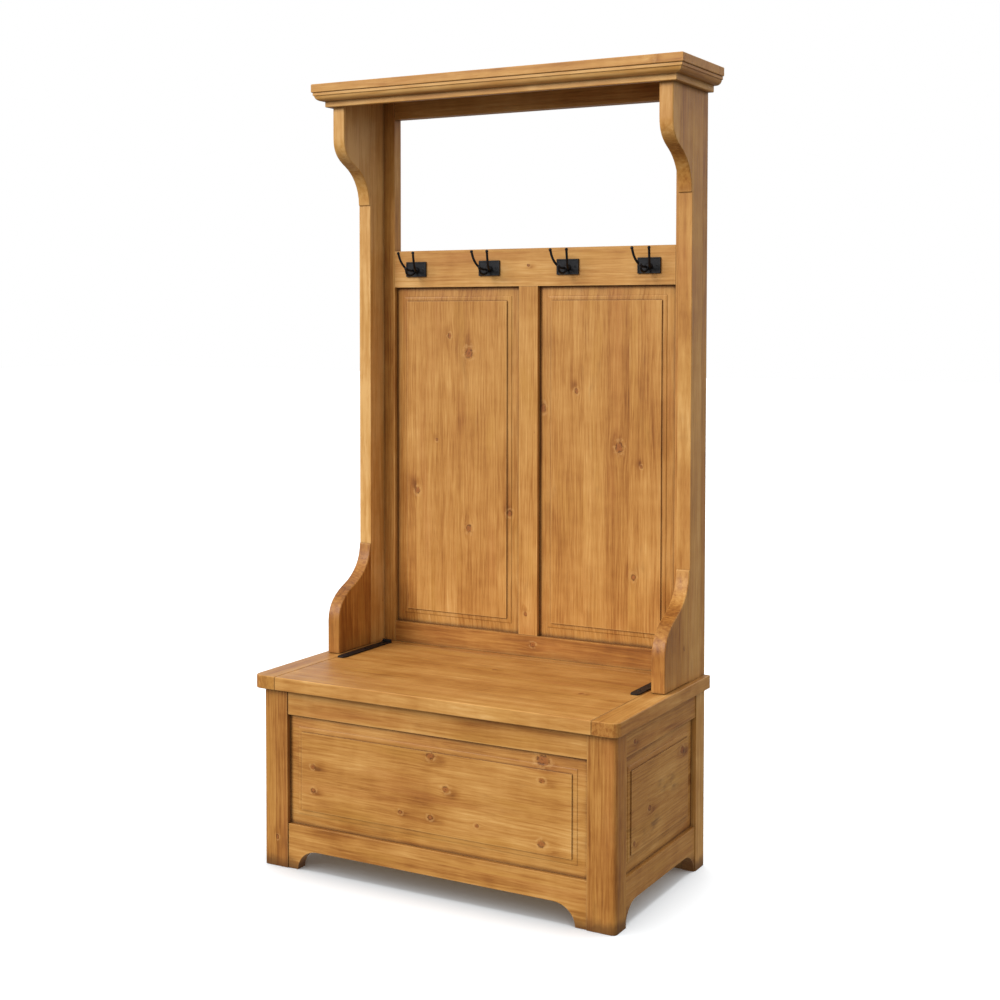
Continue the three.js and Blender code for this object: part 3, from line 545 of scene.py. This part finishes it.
def pine_material(node):
    dice = random.Random("pine " + node)
    low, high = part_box(node)
    middle = (low + high) / 2
    size = high - low
    grain, width, thickness = board_axes(size)
    material = bpy.data.materials.new("pine_" + node)
    material.use_nodes = True
    material.node_tree.nodes.clear()
    t = Tree(material.node_tree)

    place = t.add("TexCoord").outputs["Object"]
    local = t.split(t.vector("SUBTRACT", place, tuple(middle)))
    point = t.pack(local[grain], local[width], local[thickness])
    scattered = t.vector("ADD", point, (dice.uniform(0, 40), dice.uniform(0, 40), 0.0))

    if node in SHOW_KNOTS:
        bent, distance, halo = point, NO_KNOT, 0.0
        for along, across, radius in SHOW_KNOTS[node]:
            knot = t.add("Group", node_tree=KNOT)
            t.feed(knot.inputs["Point"], bent)
            t.feed(knot.inputs["Distance"], distance)
            t.feed(knot.inputs["Halo"], halo)
            centre = (along * size[grain], across * size[width], 0.0)
            knot.inputs["Centre"].default_value = centre
            knot.inputs["Radius"].default_value = radius
            bent, distance, halo = (knot.outputs[n] for n in ("Point", "Distance", "Halo"))
    else:
        knots = t.add("Group", node_tree=SCATTER)
        t.feed(knots.inputs["Point"], scattered)
        bent, distance, halo = (knots.outputs[n] for n in ("Point", "Distance", "Halo"))
        point = scattered

    normal = t.split(t.add("TexCoord").outputs["Normal"])
    end = t.smooth(t.math("ABSOLUTE", normal[grain]), 0.6, 0.9)
    slot = SLOT_OF[node]
    pine = t.add("Group", node_tree=PINE)
    t.feed(pine.inputs["Straight"], point)
    t.feed(pine.inputs["Point"], bent)
    t.feed(pine.inputs["Distance"], distance)
    t.feed(pine.inputs["Halo"], halo)
    t.feed(pine.inputs["End"], end)
    pine.inputs["Board"].default_value = BOARD_WIDTH.get(node, DEFAULT_BOARD)
    pine.inputs["Seed"].default_value = dice.uniform(1, 9)
    pine.inputs["Wax"].default_value = 0.0 if slot == "raw_pine" else 1.0
    pine.inputs["Tone"].default_value = TONE[slot] + OWN_TONE_AND_LIGHT.get(node, 0.0)
    pine.inputs["Crease"].default_value = CREASE.get(slot, DEFAULT_CREASE)
    pine.inputs["Smudge"].default_value = SMUDGES.get(node, DEFAULT_SMUDGES)
    worn = t.math("MULTIPLY_ADD", t.noise(place, scale=38.0, detail=3.0), 0.030, -0.004)
    dirt_top = SIDE_DIRT_AND_SHADE_TOP if node in BOTTOM_SIDE_RAILS else DIRT_AND_SHADE_TOP
    # Painted shade and dirt: darker towards the floor, with a wobbly upper edge.
    floor_dirt_and_shade = t.smooth(t.math("SUBTRACT", t.split(place)[2], worn), -0.004, dirt_top, 0.66, 0.0)
    t.feed(pine.inputs["Foot"], floor_dirt_and_shade)

    bump = t.add("Bump", {"Height": pine.outputs["Height"], "Strength": 0.35, "Distance": 0.0006})
    shader = t.add("BsdfPrincipled")
    t.feed(shader.inputs["Base Color"], pine.outputs["Color"])
    t.feed(shader.inputs["Roughness"], pine.outputs["Roughness"])
    t.feed(shader.inputs["Normal"], bump.outputs[0])
    shader.inputs["Specular IOR Level"].default_value = 0.22
    t.feed(t.add("OutputMaterial").inputs["Surface"], shader.outputs[0])
    return material


# ------------------------------------------------------------------ black iron


def iron_material(name, hammered):
    material = bpy.data.materials.new(name)
    material.use_nodes = True
    material.node_tree.nodes.clear()
    t = Tree(material.node_tree)
    place = t.add("TexCoord").outputs["Object"]
    dents = t.noise(place, scale=260.0 if hammered else 420.0, detail=2.0)
    grit = t.noise(place, scale=1900.0, detail=2.0)
    dust = t.noise(place, scale=60.0, detail=3.0)
    arris = t.add("AmbientOcclusion", {"Distance": 0.0022}, samples=6, inside=True).outputs["AO"]
    worn = t.math("MULTIPLY", t.smooth(arris, 0.35, 0.75, 1.0, 0.0), t.smooth(dust, 0.42, 0.62))
    colour = t.mix(t.smooth(dust, 0.3, 0.75), (0.006, 0.006, 0.007, 1), (0.013, 0.013, 0.015, 1))
    colour = t.mix(t.math("MULTIPLY", worn, 0.45), colour, (0.060, 0.058, 0.058, 1))
    height = t.math("MULTIPLY_ADD", grit, 0.2, dents)
    bump = t.add("Bump", {"Height": height, "Strength": 0.5, "Distance": 0.0005})
    shader = t.add("BsdfPrincipled")
    t.feed(shader.inputs["Base Color"], colour)
    t.feed(shader.inputs["Roughness"], t.math("MULTIPLY_ADD", grit, 0.22, 0.40))
    t.feed(shader.inputs["Normal"], bump.outputs[0])
    shader.inputs["Specular IOR Level"].default_value = 0.24
    shader.inputs["Metallic"].default_value = 0.2
    t.feed(t.add("OutputMaterial").inputs["Surface"], shader.outputs[0])
    return material


IRON = iron_material("black_iron", True)
BLACK_HINGE = iron_material("black_hinge", False)
SCREW = iron_material("black_screw", False)

# ------------------------------------------------------------------ floor

FLOOR_HALF = 30.0
FLOOR_DROP = 0.0005  # keeps the floor clear of the feet


def floor_material():
    material = bpy.data.materials.new("pale_floor")
    material.use_nodes = True
    material.node_tree.nodes.clear()
    t = Tree(material.node_tree)
    shader = t.add("BsdfPrincipled")
    shader.inputs["Base Color"].default_value = (0.90, 0.935, 0.96, 1)
    shader.inputs["Roughness"].default_value = 0.9
    shader.inputs["Specular IOR Level"].default_value = 0.1
    t.feed(t.add("OutputMaterial").inputs["Surface"], shader.outputs[0])
    return material


floor_mesh = bpy.data.meshes.new("floor")
floor_mesh.from_pydata(
    [(x * FLOOR_HALF, y * FLOOR_HALF, -FLOOR_DROP) for x, y in ((-1, -1), (1, -1), (1, 1), (-1, 1))],
    [],
    [(0, 1, 2, 3)],
)
floor = bpy.data.objects.new("floor", floor_mesh)
floor_mesh.materials.append(floor_material())
scene.collection.objects.link(floor)

# The floor is only seen: it takes the wash and not the key, and throws nothing back.
floor.visible_diffuse = False
floor.visible_glossy = False
for light, state in ((key, "EXCLUDE"), (wash, "INCLUDE")):
    receivers = bpy.data.collections.new(light.name + "_receivers")
    receivers.objects.link(floor)
    receivers.collection_objects[0].light_linking.link_state = state
    light.light_linking.receiver_collection = receivers

# ------------------------------------------------------------------ wooden pieces

SOFT_EDGE = {
    "leg": 0.0016,
    "side_post": 0.0032,
    "wing": 0.0032,
    "bracket": 0.0030,
    "lid_board": 0.0012,
    "seat_end": 0.0012,
    "cornice_board": 0.0010,
}
DEFAULT_EDGE = 0.0008
TIGHT_EDGE = 0.0003  # arrises of the shaped sides where two boards are glued together
GLUED = ("side_post", "wing", "bracket")
WING_TOP = 0.7077
BRACKET_LOW = 1.5637
FLAT_ANGLE = math.radians(0.8)
SHARP_ANGLE = math.radians(24)
IRON_EDGE = 0.0006
HINGE_EDGE = 0.0004
IRON_ANGLE = math.radians(48)


def edge_width(node):
    for start, width in SOFT_EDGE.items():
        if node.startswith(start):
            return width
    return DEFAULT_EDGE


def glued_edge(node, edge, front, back):
    """Whether an arris of a shaped side lies against another board."""
    ends = [v.co for v in edge.verts]
    if node.startswith("side_post"):
        on_front = all(co.y < front + 1e-4 for co in ends)
        middle = (ends[0].z + ends[1].z) / 2
        return not (on_front and WING_TOP < middle < BRACKET_LOW)
    return all(co.y > back - 1e-4 for co in ends)


def softened_mesh(node, suffix, width, sharp_angle):
    """A copy of a piece's CAD mesh, cleaned, with a weight on each arris to be rounded."""
    mesh = NODES[node].data.copy()
    mesh.name = node + suffix
    work = bmesh.new()
    work.from_mesh(mesh)
    bmesh.ops.remove_doubles(work, verts=work.verts, dist=1e-6)
    bmesh.ops.dissolve_limit(
        work, angle_limit=FLAT_ANGLE, verts=work.verts, edges=work.edges, delimit=set()
    )
    if node.startswith("side_post"):
        for height in (WING_TOP, BRACKET_LOW):
            whole = work.verts[:] + work.edges[:] + work.faces[:]
            bmesh.ops.bisect_plane(work, geom=whole, plane_co=(0, 0, height), plane_no=(0, 0, 1))
    front = min(v.co.y for v in work.verts)
    back = max(v.co.y for v in work.verts)
    weight = work.edges.layers.float.new("bevel_weight_edge")
    for edge in work.edges:
        if len(edge.link_faces) != 2 or edge.calc_face_angle() <= sharp_angle:
            continue
        glued = node.startswith(GLUED) and glued_edge(node, edge, front, back)
        edge[weight] = TIGHT_EDGE / width if glued else 1.0
    for face in work.faces:
        face.smooth = True
    work.to_mesh(mesh)
    work.free()
    return mesh


def rounded_piece(node, suffix, width, sharp_angle, material):
    """A piece with its arrises rounded over, in place of the sharp CAD solid."""
    mesh = softened_mesh(node, suffix, width, sharp_angle)
    mesh.materials.clear()
    mesh.materials.append(material)
    piece = bpy.data.objects.new(node + suffix, mesh)
    scene.collection.objects.link(piece)
    rounding = piece.modifiers.new("rounding", "BEVEL")
    rounding.limit_method = "WEIGHT"
    rounding.width = width
    rounding.segments = 3 if width > 0.002 else 2
    rounding.use_clamp_overlap = True
    normals = piece.modifiers.new("normals", "WEIGHTED_NORMAL")
    normals.keep_sharp = True
    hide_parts(node)
    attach(piece, BODY_OF[node])


def dome(work, radius, rise, side, slot):
    """Half of a slotted screw head: the part of a low dome on one side of the slot."""
    half = bmesh.new()
    bmesh.ops.create_uvsphere(half, u_segments=20, v_segments=10, radius=radius)
    bmesh.ops.scale(half, vec=(1, 1, rise / radius), verts=half.verts)
    for at, out in (((0, 0, 0), (0, 0, -1)), ((side * slot / 2, 0, 0), (-side, 0, 0))):
        whole = half.verts[:] + half.edges[:] + half.faces[:]
        cut = bmesh.ops.bisect_plane(half, geom=whole, plane_co=at, plane_no=out, clear_outer=True)
        rim = [e for e in cut["geom_cut"] if isinstance(e, bmesh.types.BMEdge)]
        bmesh.ops.edgeloop_fill(half, edges=rim)
    shape = bpy.data.meshes.new("half_head")
    half.to_mesh(shape)
    half.free()
    work.from_mesh(shape)
    bpy.data.meshes.remove(shape)


def screw(name, node, at, outward, turn, radius):
    """A slotted round-head screw on a piece, its head facing outward."""
    work = bmesh.new()
    for side in (-1, 1):
        dome(work, radius, radius * 0.42, side, radius * 0.26)
    bmesh.ops.create_cone(
        work, cap_ends=True, segments=20, radius1=radius * 0.99, radius2=radius * 0.95,
        depth=radius * 0.16,
    )
    mesh = bpy.data.meshes.new(name)
    work.to_mesh(mesh)
    work.free()
    mesh.materials.append(SCREW)
    head = bpy.data.objects.new(name, mesh)
    head.rotation_euler = (
        Vector(outward).to_track_quat("Z", "Y") @ Quaternion((0, 0, 1), turn)
    ).to_euler()
    head.location = at
    scene.collection.objects.link(head)
    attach(head, BODY_OF[node])


for node_name in sorted(NODES):
    if "pine" in SLOT_OF[node_name]:
        rounded_piece(
            node_name, "_board", edge_width(node_name), SHARP_ANGLE, pine_material(node_name)
        )
    elif node_name.startswith("hinge_pin"):
        for slot in NODES[node_name].material_slots:
            slot.material = BLACK_HINGE
    elif SLOT_OF[node_name] == "black_iron":
        rounded_piece(node_name, "_iron", IRON_EDGE, IRON_ANGLE, IRON)
    else:
        rounded_piece(node_name, "_iron", HINGE_EDGE, IRON_ANGLE, BLACK_HINGE)

# Two screws in each hook plate and three in each strap, each turned by chance.
HOOKS = 4
HOOK_HEIGHT = 1.4035
HOOK_SCREW_OUT = 0.0205  # from the middle of the plate
HOOK_SCREW_DEEP = 0.0028  # from the back of the plate
HOOK_SCREW_RADIUS = 0.0034
STRAP_SCREWS = (0.040, 0.105, 0.180)  # from the back of the strap
STRAP_SCREW_HEIGHT = 0.4533
STRAP_SCREW_RADIUS = 0.0036
SCREW_TURN = random.Random("screws")

for i in range(1, HOOKS + 1):
    hook = f"coat_hook_{i}"
    low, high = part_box(hook)
    plate_y = high[1] - HOOK_SCREW_DEEP
    for side in (-1, 1):
        at = ((low[0] + high[0]) / 2 + side * HOOK_SCREW_OUT, plate_y, HOOK_HEIGHT)
        turn = SCREW_TURN.uniform(0, 3)
        screw(f"hook_screw_{i}_{side + 2}", hook, at, (0, -1, 0), turn, HOOK_SCREW_RADIUS)
for side_name in ("left", "right"):
    strap = f"strap_hinge_{side_name}"
    low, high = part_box(strap)
    for i, back in enumerate(STRAP_SCREWS):
        at = ((low[0] + high[0]) / 2, high[1] - back, STRAP_SCREW_HEIGHT)
        turn = SCREW_TURN.uniform(0, 3)
        name = f"strap_screw_{side_name}_{i + 1}"
        screw(name, strap, at, (0, 0, 1), turn, STRAP_SCREW_RADIUS)
